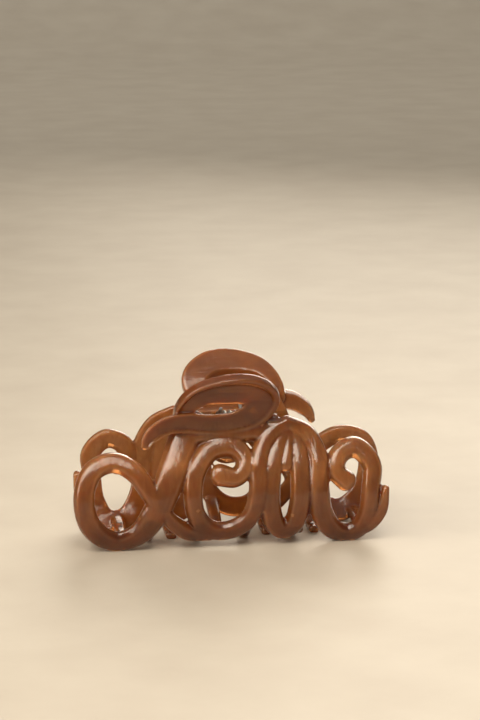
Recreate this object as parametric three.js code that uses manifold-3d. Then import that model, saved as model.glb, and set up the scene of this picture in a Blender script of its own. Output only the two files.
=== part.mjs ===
// Claw hair clip, 110 mm over its ends: two identical scrollwork jaws turned half a turn from each
// other, a steel hinge pin and a torsion spring. Millimetres, +Z up. The clip stands closed on its
// teeth and on the bottoms of its scrolls, and the hinge axis runs along X.
import * as THREE from 'three';
import { mergeVertices } from 'three/addons/utils/BufferGeometryUtils.js';
import Module from 'manifold-3d';

// ---- Driving dimensions -------------------------------------------------------------------

const PLATE = 3.7;            // thickness of the scrollwork, inner face to crown
const STEP = 3.2;             // distance between two sections along a stroke
const RUN = 8;                // sections in one run of a stroke
const CLEARANCE = 0.3;        // gap between pieces that touch on the real clip
const END_REACH = 0.36;       // a rounded end goes on for this share of the stroke's width
const END_WIDTH = 0.5;        // and narrows to this share of it

const TABLE_SIDE = 200;       // block that trims the feet of the jaws level
const TABLE_DEPTH = 20;

const HINGE_Z = 40;           // height of the hinge axis, at the waist of the jaws
const PIN_RADIUS = 1;
const PIN_HEAD_RADIUS = 2;
const PIN_HEAD = 1;           // height of the domed heads
const PIN_HEAD_RIM = 0.2;     // straight part of a head, under the dome
const PIN_DOME = [0.65, 0.75]; // corner of the dome, in shares of the head's radius and height
const PIN_SEGMENTS = 20;
const BORE_RADIUS = PIN_RADIUS + CLEARANCE;

const LUG_WIDTH = 4;          // length of one hinge lug along X
const LUG_RADIUS = 3;
const LUG_OUTER_X = 12.5;     // centre of the outer lug, one on each jaw
const LUG_INNER_X = 8;        // centre of the inner lug, on the other side
const LUG_WALL_Y = -10.4;     // inside the jaw's wall, where a lug is rooted
const LUG_ROOT_BELOW = 4.2;   // the root reaches this far below the hinge axis
const LUG_ROOT_ABOVE = 3.6;   // and this far above it
const LUG_NECK_Y = -1;        // where a lug's straight flanks meet its round nose
const LUG_SEGMENTS = 12;

const WIRE_RADIUS = 0.6;
const COIL_RADIUS = 2.6;      // to the middle of the wire
const COIL_TURNS = 5;         // whole turns, besides the part turn between the two legs
const COIL_LENGTH = 9.6;
const LEG_ANGLE = THREE.MathUtils.degToRad(42);   // slope of the legs
const LEG_LENGTH = 12.4;
const SPRING_STEPS = 84;
const WIRE_SEGMENTS = 4;

const TOOTH_PITCH = 16.3;     // the other jaw's teeth stand halfway between
const TOOTH_FIRST_X = -45;
const TOOTH_WIDTH = 4.4;
const TOOTH_THICKNESS = 3;
const TOOTH_REACH = 2.5;      // how far the tips pass the middle of the clip
const TOOTH_ROOT_LIFT = 1.65; // a tooth starts inside its stroke, this far from the inner face
const TOOTH_SHIN_Y = -8.6;    // the tooth comes down here
const TOOTH_SHIN_RISE = 1.2;  // this high, and a share of the root's height more
const TOOTH_SHIN_SHARE = 0.4;
const TOOTH_ANKLE_Y = -3.4;   // and it lies level from here on
const TOOTH_ANKLE_Z = 1.43;
const TOOTH_TIP_Z = 1.05;
const TOOTH_TAPER = 0.25;     // loss of width and thickness from the root to the foot
const TOOTH_TIP_SIZE = 0.55;  // size of the blunt tip
const TOOTH_STATIONS = [0, 0.25, 0.5, 0.75, 0.92, 1];

// Height along the profile at which each tooth leaves its stroke, from the ring to the end volute.
const TOOTH_ROOTS = [5.6, 12, 10, 11, 7.6, 6];

// The inner face of a jaw seen from its end, from the foot to the top of the handle:
// distance outwards from the hinge plane, and height.
const PROFILE = [
  [9.2, 0], [13.6, 6], [16, 13], [16.2, 19], [14.2, 26.5], [11, 33.5],
  [9.2, 39], [9.6, 43], [12, 48], [16, 54], [20, 59.8],
];

// The strokes of the scrollwork. Each point is a place along X, a place along the profile
// measured upwards from the foot, the width of the stroke, and its lift off the inner face.
const STROKES = {
  ringVolute: [
    [-26.4, 16.2, 5.4, 0], [-30, 22.4, 6.2, 0], [-34.4, 28.8, 6.8, 0], [-41, 32.2, 7, 0],
    [-47.8, 29.8, 7, 0], [-51.2, 22.5, 7, 0], [-50.2, 14, 7.2, 0], [-46.2, 8.2, 7.8, 0],
    [-40.2, 5.2, 8.2, 0], [-33, 7.8, 8.6, 0], [-28.2, 14.4, 9.2, 0], [-24, 23, 9.8, 0],
    [-20.2, 32, 10.2, 0], [-16.6, 41, 10.4, 0], [-14.6, 46, 10.2, 0],
  ],
  lowSwash: [
    [-25, 16.4, 4, 0], [-21.6, 11.6, 5.6, 0], [-16.4, 8, 6.4, 0], [-9.6, 7.6, 6.6, 0],
  ],
  hingeBeam: [
    [-18, 39.8, 6.4, 0], [-9, 41.2, 7, 0], [1, 41.2, 7, 0], [9, 41.4, 6.6, 0], [15.4, 42.8, 5.4, 0],
  ],
  middleVolute: [
    [16, 43.2, 5, 0.4], [10.3, 38, 6, 0.4], [7, 30, 6.2, 0.4], [6.4, 20.4, 6.2, 0.3],
    [3.8, 12.4, 6.4, 0], [-2, 8.2, 7, 0], [-9.5, 8.6, 7, 0], [-14, 14, 6.4, 0],
    [-15.2, 21.5, 6.4, 0], [-13.2, 29.8, 7, 0], [-7.4, 35.6, 7.4, 0], [-0.2, 35.4, 7.2, 0],
    [2.8, 30.2, 6.4, 0], [-0.6, 25.8, 6.4, 0], [-6, 26.8, 7.6, 0],
  ],
  leafLoop: [
    [18.4, 43.5, 5.2, 0], [14, 35, 6.2, 0], [11, 25, 7, 0], [10.8, 15.4, 7.2, 0],
    [12.8, 9.2, 7.2, 0], [15.8, 7.2, 7.4, 0], [18.8, 9.4, 7.2, 0], [20.6, 16.4, 7.2, 0],
    [21, 26, 6.8, 0], [20.6, 36, 6, 0], [18.6, 43.4, 5.2, 0],
  ],
  leafRib: [
    [18.2, 41, 3.6, 0], [17.2, 34, 3.4, 0], [16, 28.8, 4.6, 0],
  ],
  endVolute: [
    [17, 43.6, 5.8, 0.3], [23.6, 39.6, 6.6, 0.3], [27.2, 31.5, 7, 0.3], [27, 22, 7.2, 0.3],
    [28.4, 12.8, 7.6, 0.2], [33.4, 5.8, 7.6, 0], [40, 5.2, 7.4, 0], [43.6, 11.6, 6.4, 0],
    [44.6, 20, 6.2, 0], [45.2, 28.4, 6.8, 0], [40, 34.2, 7.4, 0], [34.4, 31.6, 6.8, 0],
    [33.2, 26.4, 6.2, 0], [36.4, 23.2, 7.2, 0],
  ],
  endBud: [
    [38, 5.6, 5.6, 0], [44.4, 8.2, 5.4, 0.2], [48.2, 13.4, 4.8, 0.2], [49.6, 20.4, 2.8, 0],
  ],
  handleLoop: [
    [-31.4, 40.4, 3.2, 4.4], [-30.4, 42.8, 4.6, 4.4], [-28.2, 45.6, 6, 4.2], [-25.2, 47.6, 7, 3.6],
    [-21.6, 48.6, 7.6, 2.8], [-16.6, 48.2, 8, 2], [-10, 47, 8, 1.6], [-1, 47.2, 8.4, 1.2],
    [5.6, 50, 11, 0.6], [7.8, 55.8, 12.4, 0], [3.4, 60, 12.2, 0], [-4.6, 60.6, 11.8, 0],
    [-12.6, 58.4, 9.2, 0], [-17.2, 53.4, 6.6, 0.4], [-18, 48.4, 6.4, 1],
  ],
};

// The shape across a stroke, in widths and thicknesses: a flat crown with bevelled flanks, or for
// the handle a plate with a raised rim and a slot that widens towards the inner face. Below
// leanFrom, a place along the profile, a stroke keeps the lean that it has there, as the handle's
// tail does.
const SCROLL_FORM = {
  leanFrom: 0,
  shape: [
    [-0.45, 0], [0.45, 0], [0.5, 0.16], [0.48, 0.46],
    [0.28, 0.98], [-0.28, 0.98], [-0.48, 0.46], [-0.5, 0.16],
  ],
};
const PLATE_FORM = {
  leanFrom: 48,
  shape: [
    [-0.46, 0], [0.16, 0], [0.43, 0.5], [0.5, 0.78], [0.46, 0.87],
    [-0.3, 0.83], [-0.36, 0.98], [-0.46, 0.98], [-0.5, 0.88], [-0.5, 0.12],
  ],
};

// ---- Materials ----------------------------------------------------------------------------

const plastic = (color) => new THREE.MeshStandardMaterial({ color, roughness: 0.22, metalness: 0 });
const steel = (color) => new THREE.MeshStandardMaterial({ color, roughness: 0.3, metalness: 1 });

// ---- Solids -------------------------------------------------------------------------------

const wasm = await Module();
wasm.setup();

function toSolid(geometry) {
  const bare = geometry.clone();
  bare.deleteAttribute('normal');
  bare.deleteAttribute('uv');
  const merged = mergeVertices(bare, 1e-5);
  return new wasm.Manifold(new wasm.Mesh({
    numProp: 3,
    vertProperties: new Float32Array(merged.attributes.position.array),
    triVerts: new Uint32Array(merged.index.array),
  }));
}

function toGeometry(solid) {
  const mesh = solid.getMesh();
  const geometry = new THREE.BufferGeometry();
  geometry.setAttribute('position', new THREE.BufferAttribute(mesh.vertProperties, 3));
  geometry.setIndex(new THREE.BufferAttribute(mesh.triVerts, 1));
  geometry.computeVertexNormals();
  return geometry;
}

const joinAll = (solids) => solids.reduce((whole, next) => whole.add(next));

// ---- The bent surface that the scrollwork follows -------------------------------------------

const profileCurve = new THREE.SplineCurve(PROFILE.map(([out, up]) => new THREE.Vector2(out, up)));
profileCurve.arcLengthDivisions = 600;
const profileLength = profileCurve.getLength();

function onJaw(x, along, lift, leanFrom) {
  const u = along / profileLength;
  const clamped = THREE.MathUtils.clamp(u, 0, 1);
  const place = profileCurve.getPointAt(clamped);
  place.addScaledVector(profileCurve.getTangentAt(clamped), (u - clamped) * profileLength);
  const lean = profileCurve.getTangentAt(Math.max(clamped, leanFrom / profileLength));
  const normal = new THREE.Vector3(0, -lean.y, -lean.x);
  const point = new THREE.Vector3(x, -place.x, place.y).addScaledVector(normal, lift);
  return { point, normal };
}

// ---- Strokes ------------------------------------------------------------------------------

function strokeSamples(points) {
  const curve = new THREE.CatmullRomCurve3(
    points.map(([x, along, , lift]) => new THREE.Vector3(x, along, lift)), false, 'centripetal');
  const widths = points.map((point) => point[2]);
  const samples = [];
  const last = points.length - 1;
  for (let span = 0; span < last; span++) {
    const from = curve.getPoint(span / last);
    const to = curve.getPoint((span + 1) / last);
    const parts = Math.max(1, Math.round(from.distanceTo(to) / STEP));
    for (let part = 0; part < parts + (span === last - 1); part++) {
      const mix = part / parts;
      const place = curve.getPoint((span + mix) / last);
      samples.push({ place, width: THREE.MathUtils.lerp(widths[span], widths[span + 1], mix) });
    }
  }
  return samples;
}

// A short narrower section beyond each end rounds the stroke off.
function roundedEnds(samples) {
  const beyond = (end, inner) => {
    const step = end.place.clone().sub(inner.place).setLength(END_REACH * end.width);
    return { place: end.place.clone().add(step), width: END_WIDTH * end.width };
  };
  const n = samples.length;
  return [beyond(samples[0], samples[1]), ...samples, beyond(samples[n - 1], samples[n - 2])];
}

function sectionAt(samples, i, { shape, leanFrom }) {
  const at = (k) => {
    const { x, y, z } = samples[THREE.MathUtils.clamp(k, 0, samples.length - 1)].place;
    return onJaw(x, y, z, leanFrom);
  };
  const { point, normal } = at(i);
  const forward = at(i + 1).point.sub(at(i - 1).point).normalize();
  const side = new THREE.Vector3().crossVectors(normal, forward).normalize();
  const up = new THREE.Vector3().crossVectors(forward, side);
  const width = samples[i].width;
  return shape.map(([across, height]) => point.clone()
    .addScaledVector(side, across * width)
    .addScaledVector(up, height * PLATE));
}

// One closed body swept through sections with the same number of corners.
function sweep(sections) {
  const corners = sections[0].length;
  const index = [];
  for (let i = 1; i < sections.length; i++) {
    for (let k = 0; k < corners; k++) {
      const here = (i - 1) * corners + k;
      const beside = (i - 1) * corners + (k + 1) % corners;
      index.push(here, beside, here + corners, beside, beside + corners, here + corners);
    }
  }
  const end = (sections.length - 1) * corners;
  for (let k = 2; k < corners; k++) {
    index.push(0, k, k - 1, end, end + k - 1, end + k);
  }
  const geometry = new THREE.BufferGeometry().setFromPoints(sections.flat());
  geometry.setIndex(index);
  return toSolid(geometry);
}

// A stroke that curls over itself is joined from short runs that each stay clear of themselves.
function sweepInRuns(sections) {
  const runs = [];
  for (let i = 0; i < sections.length - 1; i += RUN) {
    runs.push(sweep(sections.slice(i, i + RUN + 1)));
  }
  return joinAll(runs);
}

function stroke(points, form) {
  const samples = roundedEnds(strokeSamples(points));
  return sweepInRuns(samples.map((sample, i) => sectionAt(samples, i, form)));
}

// ---- Teeth --------------------------------------------------------------------------------

// A tooth grows out of the stroke above it and curves inwards, just past the middle of the clip.
function tooth(x, rootAlong) {
  const root = onJaw(x, rootAlong, TOOTH_ROOT_LIFT, 0).point;
  const path = new THREE.CatmullRomCurve3([
    root,
    new THREE.Vector3(x, TOOTH_SHIN_Y, TOOTH_SHIN_SHARE * root.z + TOOTH_SHIN_RISE),
    new THREE.Vector3(x, TOOTH_ANKLE_Y, TOOTH_ANKLE_Z),
    new THREE.Vector3(x, TOOTH_REACH, TOOTH_TIP_Z),
  ]);
  const along = new THREE.Vector3(1, 0, 0);
  const corners = [
    [-1, -0.5], [-0.6, -1], [0.6, -1], [1, -0.5],
    [1, 0.5], [0.6, 1], [-0.6, 1], [-1, 0.5],
  ];
  const sections = TOOTH_STATIONS.map((t) => {
    const taper = t === 1 ? TOOTH_TIP_SIZE : 1 - TOOTH_TAPER * t;
    const up = new THREE.Vector3().crossVectors(path.getTangent(t), along).normalize();
    return corners.map(([a, b]) => path.getPoint(t)
      .addScaledVector(along, a * taper * TOOTH_WIDTH / 2)
      .addScaledVector(up, b * taper * TOOTH_THICKNESS / 2));
  });
  return sweep(sections);
}

// ---- Hinge lugs ---------------------------------------------------------------------------

function alongX(shape, x, width) {
  const geometry = new THREE.ExtrudeGeometry(shape, {
    depth: width, bevelEnabled: false, curveSegments: LUG_SEGMENTS });
  // The shape's own axes become Y and Z.
  const axes = new THREE.Matrix4().makeBasis(
    new THREE.Vector3(0, 1, 0), new THREE.Vector3(0, 0, 1), new THREE.Vector3(1, 0, 0));
  geometry.applyMatrix4(axes);
  geometry.translate(x - width / 2, 0, 0);
  return toSolid(geometry);
}

function lug(x) {
  const shape = new THREE.Shape();
  shape.moveTo(LUG_WALL_Y, HINGE_Z - LUG_ROOT_BELOW);
  shape.lineTo(LUG_NECK_Y, HINGE_Z - LUG_RADIUS);
  shape.absarc(0, HINGE_Z, LUG_RADIUS, -Math.PI / 2, Math.PI / 2, false);
  shape.lineTo(LUG_NECK_Y, HINGE_Z + LUG_RADIUS);
  shape.lineTo(LUG_WALL_Y, HINGE_Z + LUG_ROOT_ABOVE);
  shape.closePath();
  return alongX(shape, x, LUG_WIDTH);
}

// Drills through both lugs of a jaw.
function bore() {
  const shape = new THREE.Shape();
  shape.absarc(0, HINGE_Z, BORE_RADIUS, 0, 2 * Math.PI, false);
  return alongX(shape, 0, 2 * LUG_OUTER_X + 2 * LUG_WIDTH);
}

// ---- One jaw ------------------------------------------------------------------------------

function makeJaw() {
  const strokes = Object.entries(STROKES).map(([name, points]) => (
    stroke(points, name === 'handleLoop' ? PLATE_FORM : SCROLL_FORM)));
  const teeth = TOOTH_ROOTS.map((root, i) => tooth(TOOTH_FIRST_X + i * TOOTH_PITCH, root));
  const lugs = [LUG_OUTER_X, -LUG_INNER_X].map(lug);
  const table = new THREE.BoxGeometry(TABLE_SIDE, TABLE_SIDE, TABLE_DEPTH).translate(0, 0, -TABLE_DEPTH / 2);
  return joinAll([...strokes, ...teeth, ...lugs]).subtract(bore()).subtract(toSolid(table));
}

// ---- Pin and spring -----------------------------------------------------------------------

function makePin() {
  const shoulder = LUG_OUTER_X + LUG_WIDTH / 2 + CLEARANCE;
  const half = [
    [0, -shoulder - PIN_HEAD],
    [PIN_DOME[0] * PIN_HEAD_RADIUS, -shoulder - PIN_DOME[1] * PIN_HEAD],
    [PIN_HEAD_RADIUS, -shoulder - PIN_HEAD_RIM],
    [PIN_HEAD_RADIUS, -shoulder],
    [PIN_RADIUS, -shoulder],
  ];
  const outline = [...half, ...half.map(([radius, x]) => [radius, -x]).reverse()];
  const lathe = new THREE.LatheGeometry(
    outline.map(([radius, x]) => new THREE.Vector2(radius, x)), PIN_SEGMENTS);
  return toGeometry(toSolid(lathe.rotateZ(-Math.PI / 2).translate(0, 0, HINGE_Z)));
}

// A straight leg runs in along the front jaw, winds into the coil and leaves along the rear jaw.
class SpringPath extends THREE.Curve {
  constructor() {
    super();
    this.firstAngle = Math.PI / 2 - LEG_ANGLE;
    this.sweep = (2 * Math.PI) * COIL_TURNS + 2 * LEG_ANGLE;
    this.coil = Math.hypot(this.sweep * COIL_RADIUS, COIL_LENGTH);
  }

  onCoil(share, target) {
    const angle = this.firstAngle + share * this.sweep;
    return target.set((share - 0.5) * COIL_LENGTH, -COIL_RADIUS * Math.cos(angle),
      HINGE_Z - COIL_RADIUS * Math.sin(angle));
  }

  getPoint(t, target = new THREE.Vector3()) {
    const distance = t * (this.coil + 2 * LEG_LENGTH);
    const before = Math.max(LEG_LENGTH - distance, 0);
    const after = Math.max(distance - LEG_LENGTH - this.coil, 0);
    this.onCoil(THREE.MathUtils.clamp((distance - LEG_LENGTH) / this.coil, 0, 1), target);
    target.y += (after - before) * Math.cos(LEG_ANGLE);
    target.z += (after + before) * Math.sin(LEG_ANGLE);
    return target;
  }
}

function makeSpring() {
  const wire = new THREE.Shape();
  wire.absarc(0, 0, WIRE_RADIUS, 0, 2 * Math.PI, false);
  const geometry = new THREE.ExtrudeGeometry(wire, {
    steps: SPRING_STEPS, curveSegments: WIRE_SEGMENTS, bevelEnabled: false,
    extrudePath: new SpringPath() });
  return toGeometry(toSolid(geometry));
}

// ---- The clip -----------------------------------------------------------------------------

function addMesh(group, name, geometry, material) {
  const mesh = new THREE.Mesh(geometry, material);
  mesh.name = name;
  group.add(mesh);
  return mesh;
}

const clip = new THREE.Group();
const jaw = toGeometry(makeJaw());
addMesh(clip, 'front_jaw', jaw, plastic(0x74462a));
addMesh(clip, 'rear_jaw', jaw, plastic(0x8a5a34)).rotation.z = Math.PI;
addMesh(clip, 'hinge_pin', makePin(), steel(0xb8b4ae));
addMesh(clip, 'torsion_spring', makeSpring(), steel(0xa9a6a0));

export default clip;
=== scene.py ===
"""Looks of the claw hair clip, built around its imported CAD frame. Blender 4.5, metres, +Z up.

The two jaws, the hinge pin and the torsion spring replace the faceted CAD nodes with fine
meshes of the same shape. Their dimensions are in millimetres, as in the CAD source.
"""

import math

import bpy
import numpy as np
from mathutils import Matrix, Vector


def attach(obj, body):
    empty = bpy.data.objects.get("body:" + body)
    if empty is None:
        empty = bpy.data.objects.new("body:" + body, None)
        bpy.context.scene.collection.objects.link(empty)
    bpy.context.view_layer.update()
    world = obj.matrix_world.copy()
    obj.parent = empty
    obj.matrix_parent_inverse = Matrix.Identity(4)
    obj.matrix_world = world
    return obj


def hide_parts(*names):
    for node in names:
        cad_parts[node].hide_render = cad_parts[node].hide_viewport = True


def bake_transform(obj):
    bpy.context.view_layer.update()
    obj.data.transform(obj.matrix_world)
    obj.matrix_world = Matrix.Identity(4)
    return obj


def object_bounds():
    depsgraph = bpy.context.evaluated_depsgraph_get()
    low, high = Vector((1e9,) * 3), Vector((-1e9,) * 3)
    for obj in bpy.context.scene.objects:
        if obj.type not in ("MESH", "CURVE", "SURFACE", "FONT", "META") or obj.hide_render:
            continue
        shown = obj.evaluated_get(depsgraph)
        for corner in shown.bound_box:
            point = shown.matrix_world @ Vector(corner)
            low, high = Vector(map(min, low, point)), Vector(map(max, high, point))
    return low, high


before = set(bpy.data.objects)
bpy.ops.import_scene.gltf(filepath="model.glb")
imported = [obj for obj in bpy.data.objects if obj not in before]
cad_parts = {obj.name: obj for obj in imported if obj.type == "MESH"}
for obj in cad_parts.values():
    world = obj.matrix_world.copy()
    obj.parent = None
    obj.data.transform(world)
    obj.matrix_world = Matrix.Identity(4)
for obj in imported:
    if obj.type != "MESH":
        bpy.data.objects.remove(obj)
cad_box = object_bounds()

MM = 0.001
FULL_TURN = 2 * math.pi

# ---- Dimensions shared with the CAD source, in millimetres ----------------------------------

PLATE = 3.7  # thickness of the scrollwork
HINGE_Z = 40  # height of the hinge axis
CLEARANCE = 0.3

PIN_RADIUS = 1
PIN_HEAD_RADIUS = 2
PIN_HEAD = 1  # height of the domed heads

LUG_WIDTH = 4
LUG_RADIUS = 3
LUG_OUTER_X = 12.5
LUG_INNER_X = 8
LUG_WALL_Y = -10.4  # inside the jaw's wall, where a lug is rooted
LUG_ROOT_BELOW = 4.2
LUG_ROOT_ABOVE = 3.6
LUG_NECK_Y = -1  # where a lug's straight flanks meet its round nose

WIRE_RADIUS = 0.6
COIL_RADIUS = 2.6
COIL_TURNS = 5
COIL_LENGTH = 9.6
LEG_ANGLE = math.radians(42)
LEG_LENGTH = 12.4

TOOTH_PITCH = 16.3
TOOTH_FIRST_X = -45
TOOTH_WIDTH = 4.4
TOOTH_THICKNESS = 3
TOOTH_REACH = 2.5  # how far the tips pass the middle of the clip
TOOTH_SHIN_Y = -8.6  # the tooth comes down here
TOOTH_SHIN_RISE = 1.2  # this high, and a share of the root's height more
TOOTH_SHIN_SHARE = 0.4
TOOTH_ANKLE_Y = -3.4  # and it lies level from here on

# Place along the profile at which each tooth leaves its stroke, from the ring to the end volute.
TOOTH_ROOTS = [5.6, 12, 10, 11, 7.6, 6]

# Inner face of a jaw seen from its end, from the foot to the top of the handle: out, up.
PROFILE = [
    [9.2, 0], [13.6, 6], [16, 13], [16.2, 19], [14.2, 26.5], [11, 33.5],
    [9.2, 39], [9.6, 43], [12, 48], [16, 54], [20, 59.8],
]

# The strokes of the scrollwork: x, place along the profile, width, lift off the inner face.
STROKES = {
    "ring_volute": [
        [-26.4, 16.2, 5.4, 0], [-30, 22.4, 6.2, 0], [-34.4, 28.8, 6.8, 0], [-41, 32.2, 7, 0],
        [-47.8, 29.8, 7, 0], [-51.2, 22.5, 7, 0], [-50.2, 14, 7.2, 0], [-46.2, 8.2, 7.8, 0],
        [-40.2, 5.2, 8.2, 0], [-33, 7.8, 8.6, 0], [-28.2, 14.4, 9.2, 0], [-24, 23, 9.8, 0],
        [-20.2, 32, 10.2, 0], [-16.6, 41, 10.4, 0], [-14.6, 46, 10.2, 0],
    ],
    "low_swash": [
        [-25, 16.4, 4, 0], [-21.6, 11.6, 5.6, 0], [-16.4, 8, 6.4, 0], [-9.6, 7.6, 6.6, 0],
    ],
    "hinge_beam": [
        [-18, 39.8, 6.4, 0], [-9, 41.2, 7, 0], [1, 41.2, 7, 0], [9, 41.4, 6.6, 0],
        [15.4, 42.8, 5.4, 0],
    ],
    "middle_volute": [
        [16, 43.2, 5, 0.4], [10.3, 38, 6, 0.4], [7, 30, 6.2, 0.4], [6.4, 20.4, 6.2, 0.3],
        [3.8, 12.4, 6.4, 0], [-2, 8.2, 7, 0], [-9.5, 8.6, 7, 0], [-14, 14, 6.4, 0],
        [-15.2, 21.5, 6.4, 0], [-13.2, 29.8, 7, 0], [-7.4, 35.6, 7.4, 0], [-0.2, 35.4, 7.2, 0],
        [2.8, 30.2, 6.4, 0], [-0.6, 25.8, 6.4, 0], [-6, 26.8, 7.6, 0],
    ],
    "leaf_loop": [
        [18.4, 43.5, 5.2, 0], [14, 35, 6.2, 0], [11, 25, 7, 0], [10.8, 15.4, 7.2, 0],
        [12.8, 9.2, 7.2, 0], [15.8, 7.2, 7.4, 0], [18.8, 9.4, 7.2, 0], [20.6, 16.4, 7.2, 0],
        [21, 26, 6.8, 0], [20.6, 36, 6, 0], [18.6, 43.4, 5.2, 0],
    ],
    "leaf_rib": [
        [18.2, 41, 3.6, 0], [17.2, 34, 3.4, 0], [16, 28.8, 4.6, 0],
    ],
    "end_volute": [
        [17, 43.6, 5.8, 0.3], [23.6, 39.6, 6.6, 0.3], [27.2, 31.5, 7, 0.3], [27, 22, 7.2, 0.3],
        [28.4, 12.8, 7.6, 0.2], [33.4, 5.8, 7.6, 0], [40, 5.2, 7.4, 0], [43.6, 11.6, 6.4, 0],
        [44.6, 20, 6.2, 0], [45.2, 28.4, 6.8, 0], [40, 34.2, 7.4, 0], [34.4, 31.6, 6.8, 0],
        [33.2, 26.4, 6.2, 0], [36.4, 23.2, 7.2, 0],
    ],
    "end_bud": [
        [38, 5.6, 5.6, 0], [44.4, 8.2, 5.4, 0.2], [48.2, 13.4, 4.8, 0.2], [49.6, 20.4, 2.8, 0],
    ],
    "handle_loop": [
        [-31.4, 40.4, 3.2, 4.4], [-30.4, 42.8, 4.6, 4.4], [-28.2, 45.6, 6, 4.2],
        [-25.2, 47.6, 7, 3.6], [-21.6, 48.6, 7.6, 2.8], [-16.6, 48.2, 8, 2], [-10, 47, 8, 1.6],
        [-1, 47.2, 8.4, 1.2], [5.6, 50, 11, 0.6], [7.8, 55.8, 12.4, 0], [3.4, 60, 12.2, 0],
        [-4.6, 60.6, 11.8, 0], [-12.6, 58.4, 9.2, 0], [-17.2, 53.4, 6.6, 0.4], [-18, 48.4, 6.4, 1],
    ],
}

HANDLE_LEAN_FROM = 48  # below this place along the profile the handle keeps its lean

# ---- Finish of the fine meshes, in millimetres ----------------------------------------------

# Section across a stroke, in widths and thicknesses: a gently crowned top with bevelled flanks.
SCROLL_SECTION = [
    [-0.45, 0], [0.45, 0], [0.5, 0.12], [0.5, 0.42], [0.36, 0.87], [0.3, 0.94],
    [0.14, 0.99], [-0.14, 0.99], [-0.3, 0.94], [-0.36, 0.87], [-0.5, 0.42], [-0.5, 0.12],
]

# Section across the handle: a raised rim, and a slot that widens towards the inner face.
HANDLE_SECTION = [
    [-0.46, 0], [0.16, 0], [0.43, 0.5], [0.5, 0.78], [0.46, 0.87],
    [-0.3, 0.82], [-0.36, 1], [-0.46, 1], [-0.5, 0.9], [-0.5, 0.12],
]

# Section across a tooth, in widths and thicknesses round its middle.
TOOTH_SECTION = [
    [-0.5, -0.25], [-0.32, -0.5], [0.32, -0.5], [0.5, -0.25],
    [0.5, 0.25], [0.32, 0.5], [-0.32, 0.5], [-0.5, 0.25],
]

STEP = 0.6  # distance between two sections along a stroke
EDGE_PARTS = 4  # parts of one edge of a section
PROFILE_STEPS = 60  # places between two points of the profile
TANGENT_REACH = 0.5  # the profile's direction is measured over this far both ways

SECTION_MIDDLE = 0.45  # a stroke is rounded off round this share of its thickness
STROKE_END_REACH = 0.44  # a rounded end goes on for this share of the stroke's width
STROKE_END_TURNS = np.radians([12, 24, 36, 48, 60, 70, 80, 88])

TOOTH_SHIN_SIZE = 0.96  # share of the full width and thickness
TOOTH_ANKLE_SIZE = 0.88
TOOTH_TIP_SIZE = 0.8
TOOTH_ANKLE_Z = 0.95 * TOOTH_THICKNESS / 2
TOOTH_TIP_Z = 0.72 * TOOTH_THICKNESS / 2
TOOTH_END_REACH = 0.8  # length of the rounded tip
TOOTH_END_TURNS = np.radians([25, 50, 70, 85])

LUG_NOSE_STEP = 15  # degrees between two points of a lug's round nose
BORE_CORNERS = 72
TINY = 1e-9

PIN_HEAD_BEVEL = 0.12  # broken edge under a head
PIN_HEAD_RIM = 0.25  # straight part of a head, under the dome
PIN_TIP_RADIUS = 0.12
PIN_DOME_POINTS = 9
PIN_CORNERS = 48

SPRING_STEPS = 520
WIRE_CORNERS = 16

VOXEL = 0.39
SMOOTHING_PASSES = 6

# ---- Colours, light and camera, in metres, watts and degrees --------------------------------

# Heights between which the painted sheen and the flow lines change, in millimetres.
PAINTED_SHEEN_RISES = (4, 28)  # painted sheen grows from none at the foot, which is left darker as painted shade
PAINTED_SHEEN_FADES = (34, 44)  # painted sheen weakens again in the handles
FLOW_TURNS = (41, 46)  # from flow lines down the scrollwork to lines across the handles

WINDOW_COLOUR = (1, 0.89, 0.75)
CEILING_COLOUR = (1, 0.96, 0.9)
BACKDROP_COLOUR = (1, 0.95, 0.88)
ROOM_COLOUR = (1, 0.91, 0.8, 1)
ROOM_STRENGTH = 0.16

FLOOR_REACH = 3.0  # to the left, right and front
FLOOR_BACK = 1.5  # where the floor starts to turn up into the backdrop
FLOOR_TURN = 0.8  # radius of that turn
BACKDROP_TOP = 2.2

CAMERA_PIVOT = (0, 0, 0.025)
CAMERA_AZIMUTH = -9.5
CAMERA_ELEVATION = 14
CAMERA_DISTANCE = 0.95
CAMERA_HEADING = 9.713  # it looks past the clip, which lies low in the frame
CAMERA_TILT = -11.913
CAMERA_LENS = 141.3  # in millimetres, as the sensor
CAMERA_SENSOR = 36


# ---- Curves ---------------------------------------------------------------------------------

def unit(vectors):
    return vectors / np.linalg.norm(vectors, axis=1)[:, None]


def directions(points):
    """The direction of a line of points at each of them."""
    return unit(np.gradient(points, axis=0))


def hermite(a, b, slope_a, slope_b, t):
    """Points on the cubic from a to b for the shares t."""
    t = np.asarray(t, float)[:, None]
    return (
        (2 * t**3 - 3 * t**2 + 1) * a
        + (t**3 - 2 * t**2 + t) * slope_a
        + (3 * t**2 - 2 * t**3) * b
        + (t**3 - t**2) * slope_b
    )


def profile_table():
    """The profile as a smooth curve: places and the arc length up to each of them."""
    points = np.array(PROFILE, float)
    ends = np.vstack([points[:1], points, points[-1:]])
    shares = np.arange(PROFILE_STEPS) / PROFILE_STEPS
    spans = []
    for i in range(len(points) - 1):
        before, a, b, after = ends[i : i + 4]
        spans.append(hermite(a, b, (b - before) / 2, (after - a) / 2, shares))
    places = np.vstack([*spans, points[-1:]])
    lengths = np.linalg.norm(np.diff(places, axis=0), axis=1)
    return places, np.concatenate([[0], np.cumsum(lengths)])


PROFILE_PLACES, PROFILE_LENGTHS = profile_table()


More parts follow.
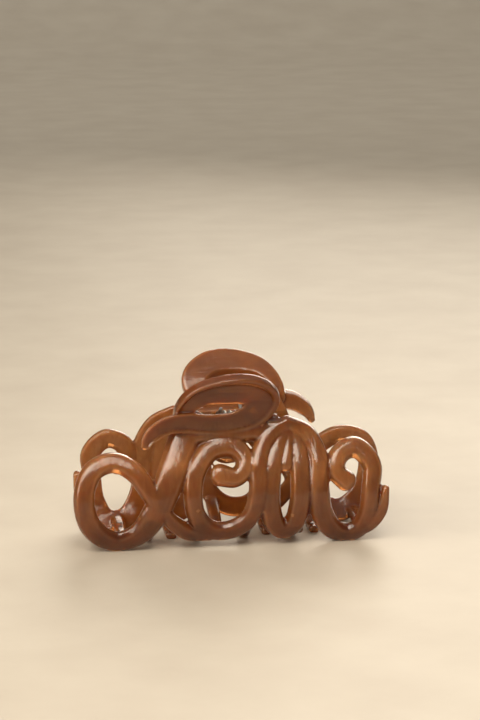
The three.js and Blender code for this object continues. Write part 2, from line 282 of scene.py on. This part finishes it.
def on_profile(along):
    """Places on the profile and its direction there."""
    last = PROFILE_LENGTHS[-1]

    def place(s):
        s = np.clip(s, 0, last)
        out, up = PROFILE_PLACES.T
        return np.column_stack([np.interp(s, PROFILE_LENGTHS, out), np.interp(s, PROFILE_LENGTHS, up)])

    inside = np.clip(along, 0, last)
    tangent = unit(place(inside + TANGENT_REACH) - place(inside - TANGENT_REACH))
    return place(along) + tangent * (along - inside)[:, None], tangent


def on_jaw(x, along, lift, lean_from=0):
    """Points on the bent surface that the scrollwork follows, and its outward normals."""
    out_up, _ = on_profile(along)
    _, lean = on_profile(np.maximum(along, lean_from))
    normal = np.column_stack([np.zeros(len(lean)), -lean[:, 1], -lean[:, 0]])
    point = np.column_stack([x, -out_up[:, 0], out_up[:, 1]])
    return point + normal * np.asarray(lift)[:, None], normal


def centripetal(points):
    """A smooth curve through rows of two places, a width and a third place, a STEP apart.

    The rows of the curve have the three places first and the width last.
    """
    rows = np.array(points, float)[:, [0, 1, 3, 2]]
    places = rows[:, :3]
    spans = len(places) - 1
    ends = np.vstack([2 * places[0] - places[1], places, 2 * places[-1] - places[-2]])
    samples = []
    for i in range(spans):
        p0, p1, p2, p3 = ends[i : i + 4]
        d0, d1, d2 = np.sqrt(np.linalg.norm(np.diff(ends[i : i + 4], axis=0), axis=1))
        slope1 = ((p1 - p0) / d0 - (p2 - p0) / (d0 + d1) + (p2 - p1) / d1) * d1
        slope2 = ((p2 - p1) / d1 - (p3 - p1) / (d1 + d2) + (p3 - p2) / d2) * d1
        count = max(2, round(np.linalg.norm(p2 - p1) / STEP))
        is_last = i == spans - 1
        shares = np.arange(count + is_last) / count
        width = rows[i, 3] + (rows[i + 1, 3] - rows[i, 3]) * shares
        samples.append(np.column_stack([hermite(p1, p2, slope1, slope2, shares), width]))
    return np.vstack(samples)


# ---- Swept meshes: each gives the vertices and faces of one closed body ----------------------

def refined(outline):
    """The outline of a section with extra points along its edges: across, height."""
    outline = np.array(outline)
    shares = np.arange(EDGE_PARTS)[:, None] / EDGE_PARTS
    edges = [a + (b - a) * shares for a, b in zip(outline, np.roll(outline, -1, axis=0))]
    return np.vstack(edges).T


def sections(centre, side, up, across, height):
    """Rings of corners, this far across along side and this far up, round each centre."""
    wide = across[:, :, None] * side[:, None, :]
    tall = height[:, :, None] * up[:, None, :]
    return centre[:, None, :] + wide + tall


def sweep(rings):
    """A body through rings with the same number of corners, closed at both ends."""
    count, corners = rings.shape[:2]
    faces = []
    for i in range(count - 1):
        for k in range(corners):
            here = i * corners + k
            beside = i * corners + (k + 1) % corners
            faces.append((here, beside, beside + corners, here + corners))
    faces.append(tuple(reversed(range(corners))))
    faces.append(tuple(range((count - 1) * corners, count * corners)))
    return rings.reshape(-1, 3), faces


def stroke(points, outline, lean_from=0):
    """One stroke of the scrollwork, with rounded ends."""
    samples = centripetal(points)
    point, normal = on_jaw(samples[:, 0], samples[:, 1], samples[:, 2], lean_from)
    forward = directions(point)
    side = unit(np.cross(normal, forward))
    up = np.cross(forward, side)
    width = samples[:, 3]

    # At the ends the section shrinks towards its own middle along a half circle.
    turns = STROKE_END_TURNS
    last = len(point) - 1
    index = np.concatenate([np.zeros(len(turns), int), np.arange(last + 1), np.full(len(turns), last)])
    shrink = np.concatenate([np.cos(turns)[::-1], np.ones(last + 1), np.cos(turns)])
    beyond = np.concatenate([-np.sin(turns)[::-1], np.zeros(last + 1), np.sin(turns)])
    shift = STROKE_END_REACH * beyond * width[index]

    centre = point[index] + forward[index] * shift[:, None] + up[index] * (SECTION_MIDDLE * PLATE)
    across, height = refined(outline)
    wide = np.outer(width[index] * shrink, across)
    tall = np.outer(PLATE * shrink, height - SECTION_MIDDLE)
    return sweep(sections(centre, side[index], up[index], wide, tall))


def tooth(x, root_along):
    """A tooth from the inside of its stroke to its rounded tip past the middle of the clip."""
    (root,), _ = on_jaw(np.array([x]), np.array([root_along]), np.array([SECTION_MIDDLE * PLATE]))
    _, root_y, root_z = root
    # Each point: x, y, share of the full size, z.
    samples = centripetal([
        [x, root_y, 1, root_z],
        [x, TOOTH_SHIN_Y, TOOTH_SHIN_SIZE, TOOTH_SHIN_SHARE * root_z + TOOTH_SHIN_RISE],
        [x, TOOTH_ANKLE_Y, TOOTH_ANKLE_SIZE, TOOTH_ANKLE_Z],
        [x, TOOTH_REACH - TOOTH_END_REACH, TOOTH_TIP_SIZE, TOOTH_TIP_Z],
    ])
    point, size = samples[:, :3], samples[:, 3]
    forward = directions(point)
    side = np.tile([1.0, 0, 0], (len(point), 1))
    up = np.cross(forward, side)

    turns = TOOTH_END_TURNS
    index = np.concatenate([np.arange(len(point)), np.full(len(turns), len(point) - 1)])
    shrink = np.concatenate([np.ones(len(point)), np.cos(turns)])
    shift = np.concatenate([np.zeros(len(point)), TOOTH_END_REACH * np.sin(turns)])

    centre = point[index] + forward[index] * shift[:, None]
    across, height = refined(TOOTH_SECTION)
    wide = np.outer(TOOTH_WIDTH * size[index] * shrink, across)
    tall = np.outer(TOOTH_THICKNESS * size[index] * shrink, height)
    return sweep(sections(centre, side[index], up[index], wide, tall))


def reach(outline, angle):
    """Distance from the hinge axis to the outline round it, in one direction."""
    ray = np.array([math.cos(angle), math.sin(angle)])
    nearest = math.inf
    for a, b in zip(outline, np.roll(outline, -1, axis=0)):
        edge = b - a
        cross = ray[0] * edge[1] - ray[1] * edge[0]
        if abs(cross) < TINY:
            continue
        distance = (a[0] * edge[1] - a[1] * edge[0]) / cross
        share = (a[0] * ray[1] - a[1] * ray[0]) / cross
        if distance > 0 and -TINY <= share <= 1 + TINY:
            nearest = min(nearest, distance)
    return nearest


def lug(x):
    """A hinge lug with its bore: an outline round the hinge axis, hollow in the middle."""
    nose = np.radians(range(0, 181, LUG_NOSE_STEP))
    outline = np.array([
        [LUG_WALL_Y, -LUG_ROOT_BELOW],
        [LUG_NECK_Y, -LUG_RADIUS],
        *[[LUG_RADIUS * math.sin(a), -LUG_RADIUS * math.cos(a)] for a in nose],
        [LUG_NECK_Y, LUG_RADIUS],
        [LUG_WALL_Y, LUG_ROOT_ABOVE],
    ])
    angles = np.arange(BORE_CORNERS) * FULL_TURN / BORE_CORNERS
    inner = np.full(BORE_CORNERS, PIN_RADIUS + CLEARANCE)
    outer = np.array([reach(outline, a) for a in angles])
    rings = []
    for radius, end in ((inner, -1), (inner, 1), (outer, 1), (outer, -1)):
        along = np.full(BORE_CORNERS, x + end * LUG_WIDTH / 2)
        rings.append(np.column_stack([along, radius * np.cos(angles), HINGE_Z + radius * np.sin(angles)]))
    faces = []
    for ring in range(4):
        for k in range(BORE_CORNERS):
            here = ring * BORE_CORNERS + k
            beside = ring * BORE_CORNERS + (k + 1) % BORE_CORNERS
            over, beyond = ((i + BORE_CORNERS) % (4 * BORE_CORNERS) for i in (here, beside))
            faces.append((here, beside, beyond, over))
    return np.vstack(rings), faces


# ---- Jaws -----------------------------------------------------------------------------------

def join_bodies(bodies):
    """One list of vertices and one of faces from several bodies."""
    vertices, faces, offset = [], [], 0
    for points, sides in bodies:
        vertices.append(points)
        faces += [tuple(k + offset for k in side) for side in sides]
        offset += len(points)
    return np.vstack(vertices), faces


def new_object(name, vertices, faces, material):
    """A smooth shaded object from vertices in millimetres."""
    mesh = bpy.data.meshes.new(name)
    mesh.from_pydata((vertices * MM).tolist(), [], faces)
    mesh.validate()
    mesh.materials.append(material)
    mesh.shade_smooth()
    piece = bpy.data.objects.new(name, mesh)
    bpy.context.scene.collection.objects.link(piece)
    return piece


def freeze(piece):
    """The piece's modifiers become part of its mesh."""
    seen = piece.evaluated_get(bpy.context.evaluated_depsgraph_get())
    mesh = bpy.data.meshes.new_from_object(seen)
    piece.modifiers.clear()
    piece.data = mesh


def level_foot(mesh):
    """The foot is flat where the clip stands."""
    points = np.empty(len(mesh.vertices) * 3)
    mesh.vertices.foreach_get("co", points)
    points[2::3] = np.maximum(points[2::3], 0)
    mesh.vertices.foreach_set("co", points)
    mesh.update()


def build_jaw(name, material):
    """The strokes, the teeth and the lugs, grown together into one skin with soft edges."""
    bodies = []
    for part, points in STROKES.items():
        if part == "handle_loop":
            bodies.append(stroke(points, HANDLE_SECTION, HANDLE_LEAN_FROM))
        else:
            bodies.append(stroke(points, SCROLL_SECTION))
    bodies += [tooth(TOOTH_FIRST_X + i * TOOTH_PITCH, root) for i, root in enumerate(TOOTH_ROOTS)]
    bodies += [lug(x) for x in (LUG_OUTER_X, -LUG_INNER_X)]
    piece = new_object(name, *join_bodies(bodies), material)
    remesh = piece.modifiers.new("one skin", "REMESH")
    remesh.mode = "VOXEL"
    remesh.voxel_size = VOXEL * MM
    smooth = piece.modifiers.new("moulded edges", "SMOOTH")
    smooth.factor = 0.5
    smooth.iterations = SMOOTHING_PASSES
    freeze(piece)
    piece.data.shade_smooth()
    level_foot(piece.data)
    return piece


def half_turn(piece, name, material):
    """A copy of the piece turned half a turn about the vertical."""
    mesh = piece.data.copy()
    mesh.transform(Matrix.Rotation(math.pi, 4, "Z"))
    mesh.materials[0] = material
    copy = bpy.data.objects.new(name, mesh)
    bpy.context.scene.collection.objects.link(copy)
    return copy


# ---- Pin and spring -------------------------------------------------------------------------

def build_pin(material):
    """The hinge pin: a straight shaft with a domed head at each end."""
    shoulder = LUG_OUTER_X + LUG_WIDTH / 2 + CLEARANCE
    # Half the outline, from the middle of the shaft to the tip: radius, x.
    half = [
        [PIN_RADIUS, 0],
        [PIN_RADIUS, shoulder],
        [PIN_HEAD_RADIUS - PIN_HEAD_BEVEL, shoulder],
        [PIN_HEAD_RADIUS, shoulder + PIN_HEAD_BEVEL],
    ]
    for a in np.radians(np.linspace(0, 90, PIN_DOME_POINTS))[:-1]:
        rise = PIN_HEAD_RIM + (PIN_HEAD - PIN_HEAD_RIM) * math.sin(a)
        half.append([PIN_HEAD_RADIUS * math.cos(a), shoulder + rise])
    half.append([PIN_TIP_RADIUS, shoulder + PIN_HEAD])
    outline = [[radius, -x] for radius, x in reversed(half[1:])] + half
    angles = np.arange(PIN_CORNERS) * FULL_TURN / PIN_CORNERS
    rings = np.array([
        np.column_stack([np.full(PIN_CORNERS, x), radius * np.cos(angles), HINGE_Z + radius * np.sin(angles)])
        for radius, x in outline
    ])
    return new_object("hinge_pin_steel", *sweep(rings), material)


def build_spring(material):
    """A leg runs in along the front jaw, winds into the coil and leaves along the rear jaw."""
    turn = FULL_TURN * COIL_TURNS + 2 * LEG_ANGLE
    coil = math.hypot(turn * COIL_RADIUS, COIL_LENGTH)
    distance = np.linspace(0, coil + 2 * LEG_LENGTH, SPRING_STEPS)
    share = np.clip((distance - LEG_LENGTH) / coil, 0, 1)
    angle = math.pi / 2 - LEG_ANGLE + share * turn
    before = np.maximum(LEG_LENGTH - distance, 0)
    after = np.maximum(distance - LEG_LENGTH - coil, 0)
    centre = np.column_stack([
        (share - 0.5) * COIL_LENGTH,
        -COIL_RADIUS * np.cos(angle) + (after - before) * math.cos(LEG_ANGLE),
        HINGE_Z - COIL_RADIUS * np.sin(angle) + (after + before) * math.sin(LEG_ANGLE),
    ])
    forward = directions(centre)
    side = unit(np.cross(forward, np.tile([1.0, 0, 0], (len(forward), 1))))
    up = np.cross(side, forward)
    around = np.arange(WIRE_CORNERS) * FULL_TURN / WIRE_CORNERS
    radius = np.full(len(centre), WIRE_RADIUS)
    wide, tall = np.outer(radius, np.cos(around)), np.outer(radius, np.sin(around))
    spring = new_object("torsion_spring_steel", *sweep(sections(centre, side, up, wide, tall)), material)
    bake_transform(spring)
    return spring


# ---- Materials ------------------------------------------------------------------------------

class Nodes:
    """Short ways to add the nodes of one material. Each returns the new node's output."""

    MIX_SOCKETS = {"FLOAT": (2, 3, 0), "RGBA": (6, 7, 2)}  # first, second, output

    def __init__(self, name):
        self.material = bpy.data.materials.new(name)
        self.material.use_nodes = True
        self.tree = self.material.node_tree
        self.shader = self.tree.nodes["Principled BSDF"]
        self.place = self.add("ShaderNodeTexCoord").outputs["Object"]

    def put(self, entry, value):
        """An input takes the output of a node, or a fixed value."""
        if isinstance(value, bpy.types.NodeSocket):
            self.tree.links.new(value, entry)
        else:
            entry.default_value = value

    def add(self, kind, **entries):
        node = self.tree.nodes.new(kind)
        for name, value in entries.items():
            self.put(node.inputs[name], value)
        return node

    def shade(self, **entries):
        """Inputs of the shader, with _ for the spaces in their names."""
        for name, value in entries.items():
            self.put(self.shader.inputs[name.replace("_", " ")], value)

    def height(self):
        return self.add("ShaderNodeSeparateXYZ", Vector=self.place).outputs["Z"]

    def noise(self, scale, detail, roughness=0.5, distortion=0.0, rotation=(0, 0, 0)):
        """Noise fixed to the piece. Its scale is in waves a metre along each axis."""
        place = self.add("ShaderNodeMapping", Vector=self.place, Scale=scale, Rotation=rotation)
        texture = self.add("ShaderNodeTexNoise", Vector=place.outputs["Vector"], Scale=1.0,
                           Detail=detail, Roughness=roughness, Distortion=distortion)
        return texture.outputs["Fac"]

    def between(self, value, source, target):
        """The value's range from source[0] to source[1] is spread over the target's."""
        limits = {"From Min": source[0], "From Max": source[1], "To Min": target[0], "To Max": target[1]}
        return self.add("ShaderNodeMapRange", Value=value, **limits).outputs["Result"]

    def ramp(self, value, stops):
        node = self.add("ShaderNodeValToRGB", Fac=value)
        elements = node.color_ramp.elements
        while len(elements) < len(stops):
            elements.new(0.5)
        for element, (place, colour) in zip(elements, stops):
            element.position = place
            element.color = colour
        return node.outputs["Color"]

    def combine(self, operation, first, second, clamp=False):
        node = self.add("ShaderNodeMath")
        node.operation = operation
        node.use_clamp = clamp
        self.put(node.inputs[0], first)
        self.put(node.inputs[1], second)
        return node.outputs["Value"]

    def mix(self, kind, amount, first, second):
        node = self.add("ShaderNodeMix")
        node.data_type = kind
        first_entry, second_entry, output = self.MIX_SOCKETS[kind]
        self.put(node.inputs[0], amount)
        self.put(node.inputs[first_entry], first)
        self.put(node.inputs[second_entry], second)
        return node.outputs[output]

    def bump(self, height, strength, distance, under=None):
        node = self.add("ShaderNodeBump", Height=height, Strength=strength, Distance=distance)
        if under is not None:
            self.put(node.inputs["Normal"], under)
        return node.outputs["Normal"]


def linear(red, green, blue):
    """An sRGB colour from 0 to 255 as linear light."""
    def channel(value):
        value /= 255
        return value / 12.92 if value <= 0.04045 else ((value + 0.055) / 1.055) ** 2.4
    return (*(channel(v) for v in (red, green, blue)), 1)


def in_metres(heights):
    return [h * MM for h in heights]


def milky_plastic(name, dark, middle, light, painted_sheen_colour):
    """Glossy caramel plastic: milky, lets light through, with the flow marks of moulding. Its colour also
    holds painted sheen, painted edge highlights and painted shade.
    """
    nodes = Nodes(name)
    clouds = nodes.noise((55, 55, 90), detail=4.0, roughness=0.55, distortion=0.8)
    colour = nodes.ramp(clouds, [(0.3, dark), (0.52, middle), (0.74, light)])

    # Flow lines run down the scrollwork and across the handles.
    height = nodes.height()
    down = nodes.noise((330, 330, 60), detail=2.0, distortion=1.4, rotation=(0, 0.12, 0))
    across = nodes.noise((60, 330, 330), detail=2.0, distortion=1.4)
    on_handle = nodes.between(height, in_metres(FLOW_TURNS), (0.0, 1.0))
    flow = nodes.mix("FLOAT", on_handle, down, across)

    # Painted sheen, a painted reflection of light, follows the flow lines. It is strongest half way up, fades
    # in the handles and leaves the foot darker as painted shade.
    rise = nodes.between(height, in_metres(PAINTED_SHEEN_RISES), (0.0, 1.0))
    fade = nodes.between(height, in_metres(PAINTED_SHEEN_FADES), (1.0, 0.3))
    painted_sheen_streaks = nodes.between(flow, (0.3, 0.7), (0.36, 0.58))
    body = nodes.combine("MULTIPLY", nodes.combine("MULTIPLY", rise, fade), painted_sheen_streaks)

    # Painted highlight and painted shade: edges are painted lighter, and the creases between strokes are
    # painted deeper in colour.
    pointiness = nodes.add("ShaderNodeNewGeometry").outputs["Pointiness"]
    edges = nodes.between(pointiness, (0.46, 0.56), (-0.3, 0.6))
    painted_light_mix = nodes.combine("ADD", body, edges, clamp=True)

    polish = nodes.noise((160, 160, 160), detail=3.0, roughness=0.6)
    waves = nodes.noise((210, 210, 210), detail=2.0, distortion=0.4)
    scratches = nodes.noise((900, 900, 5200), detail=5.0, roughness=0.7, rotation=(0.4, 0.5, 0.2))
    ridged = nodes.bump(flow, strength=0.35, distance=0.00022)
    wavy = nodes.bump(waves, strength=0.3, distance=0.0004, under=ridged)
    scratched = nodes.bump(scratches, strength=0.06, distance=0.00005, under=wavy)

    # The base colour mixes painted sheen, painted edge highlights and painted crease shade into the plastic's
    # own colour.
    nodes.shade(
        Base_Color=nodes.mix("RGBA", painted_light_mix, colour, painted_sheen_colour),
        Roughness=nodes.between(polish, (0.3, 0.7), (0.1, 0.2)),
        Normal=scratched,
        IOR=1.49,
        Subsurface_Weight=0.9,
        Subsurface_Radius=(1.0, 0.45, 0.2),
        Subsurface_Scale=0.007,
        Transmission_Weight=0.62,
        Specular_IOR_Level=0.36,
        Coat_Weight=0.3,
        Coat_Roughness=0.03,
    )
    return nodes.material


def drawn_steel(name, colour):
    """Steel drawn along the hinge axis: fine rings round it, faint stains, slight wear."""
    nodes = Nodes(name)
    grain = nodes.noise((9000, 700, 700), detail=4.0, roughness=0.65)
    stains = nodes.noise((420, 420, 420), detail=3.0)
    dull = (*(0.72 * c for c in colour[:3]), 1)
    nodes.shade(
        Base_Color=nodes.ramp(stains, [(0.35, dull), (0.65, colour)]),
        Roughness=nodes.between(grain, (0.3, 0.7), (0.2, 0.42)),
        Normal=nodes.bump(grain, strength=0.15, distance=0.00003),
        Metallic=1,
    )
    return nodes.material


def pale_floor(name):
    nodes = Nodes(name)
    paper = nodes.noise((30, 30, 30), detail=4.0)
    tones = [(0.3, linear(182, 173, 158)), (0.7, linear(190, 182, 167))]
    nodes.shade(Base_Color=nodes.ramp(paper, tones), Roughness=0.55)
    return nodes.material


# ---- Stage, light and camera ----------------------------------------------------------------

def build_stage():
    """The floor, turned up behind the clip into a backdrop."""
    rows = [(-FLOOR_REACH, 0), (FLOOR_BACK, 0)]
    for a in np.radians(range(10, 91, 10)):
        rows.append((FLOOR_BACK + FLOOR_TURN * math.sin(a), FLOOR_TURN * (1 - math.cos(a))))
    rows.append((FLOOR_BACK + FLOOR_TURN, BACKDROP_TOP))
    points = [(side * FLOOR_REACH, y, z) for y, z in rows for side in (-1, 1)]
    faces = [(2 * i, 2 * i + 1, 2 * i + 3, 2 * i + 2) for i in range(len(rows) - 1)]
    mesh = bpy.data.meshes.new("floor")
    mesh.from_pydata(points, [], faces)
    mesh.shade_smooth()
    mesh.materials.append(pale_floor("pale floor"))
    floor = bpy.data.objects.new("floor", mesh)
    bpy.context.scene.collection.objects.link(floor)


def area_light(name, place, target, size, watts, colour, spread):
    data = bpy.data.lights.new(name, "AREA")
    data.shape = "RECTANGLE"
    data.size, data.size_y = size
    data.energy = watts
    data.color = colour
    data.spread = math.radians(spread)
    lamp = bpy.data.objects.new(name, data)
    lamp.location = place
    lamp.rotation_euler = (Vector(target) - Vector(place)).to_track_quat("-Z", "Y").to_euler()
    bpy.context.scene.collection.objects.link(lamp)


def build_lights(centre):
    area_light("window in front", place=(-0.2, -0.7, 0.7), target=centre,
               size=(0.7, 0.45), watts=1.8, colour=WINDOW_COLOUR, spread=80)
    area_light("soft wall on the left", place=(-0.8, -0.35, 0.45), target=centre,
               size=(0.7, 0.7), watts=3.4, colour=WINDOW_COLOUR, spread=120)
    area_light("window behind", place=(0.4, 0.8, 0.5), target=centre,
               size=(0.8, 0.7), watts=1.5, colour=WINDOW_COLOUR, spread=60)
    area_light("ceiling", place=(0, 0, 2.4), target=(0, 0, 0),
               size=(4, 4), watts=17, colour=CEILING_COLOUR, spread=180)
    area_light("backdrop", place=(0, 1.0, 1.2), target=(0, 2.3, 0.2),
               size=(2.4, 0.5), watts=9, colour=BACKDROP_COLOUR, spread=170)
    world = bpy.data.worlds.new("soft room")
    world.use_nodes = True
    room = world.node_tree.nodes["Background"]
    room.inputs["Color"].default_value = ROOM_COLOUR
    room.inputs["Strength"].default_value = ROOM_STRENGTH
    bpy.context.scene.world = world
    bpy.context.scene.view_settings.view_transform = "Standard"


def toward(azimuth, elevation):
    """The direction with this azimuth to the right of +Y and this elevation, in degrees."""
    azimuth, elevation = math.radians(azimuth), math.radians(elevation)
    level = math.cos(elevation)
    return Vector((math.sin(azimuth) * level, math.cos(azimuth) * level, math.sin(elevation)))


def build_camera():
    """A long lens from slightly above and from the left, aimed above the clip."""
    data = bpy.data.cameras.new("camera")
    data.lens = CAMERA_LENS
    data.sensor_width = CAMERA_SENSOR
    camera = bpy.data.objects.new("camera", data)
    ahead = toward(-CAMERA_AZIMUTH, -CAMERA_ELEVATION)
    camera.location = Vector(CAMERA_PIVOT) - ahead * CAMERA_DISTANCE
    camera.rotation_euler = toward(CAMERA_HEADING, CAMERA_TILT).to_track_quat("-Z", "Y").to_euler()
    bpy.context.scene.collection.objects.link(camera)
    bpy.context.scene.camera = camera


# ---- The clip -------------------------------------------------------------------------------

front_plastic = milky_plastic(
    "front_plastic", dark=linear(97, 42, 3), middle=linear(115, 53, 6), light=linear(138, 70, 15),
    painted_sheen_colour=linear(190, 134, 82),
)
# The rear jaw is the same plastic as the front. Its copy is painted lighter, a painted glow of light from
# behind shining through it.
rear_plastic = milky_plastic(
    "rear_plastic", dark=linear(106, 47, 5), middle=linear(125, 61, 10), light=linear(150, 81, 22),
    painted_sheen_colour=linear(196, 142, 90),
)
steel = drawn_steel("pin_steel", linear(196, 192, 186))
spring_steel = drawn_steel("spring_steel", linear(186, 184, 180))

front = build_jaw("front_jaw_plastic", front_plastic)
rear = half_turn(front, "rear_jaw_plastic", rear_plastic)
pin = build_pin(steel)
spring = build_spring(spring_steel)

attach(front, "front_half")
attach(rear, "rear_half")
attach(pin, "front_half")
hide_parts("front_jaw")
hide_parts("rear_jaw")
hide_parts("hinge_pin")
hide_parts("torsion_spring")

build_stage()
build_lights((cad_box[0] + cad_box[1]) / 2)
build_camera()
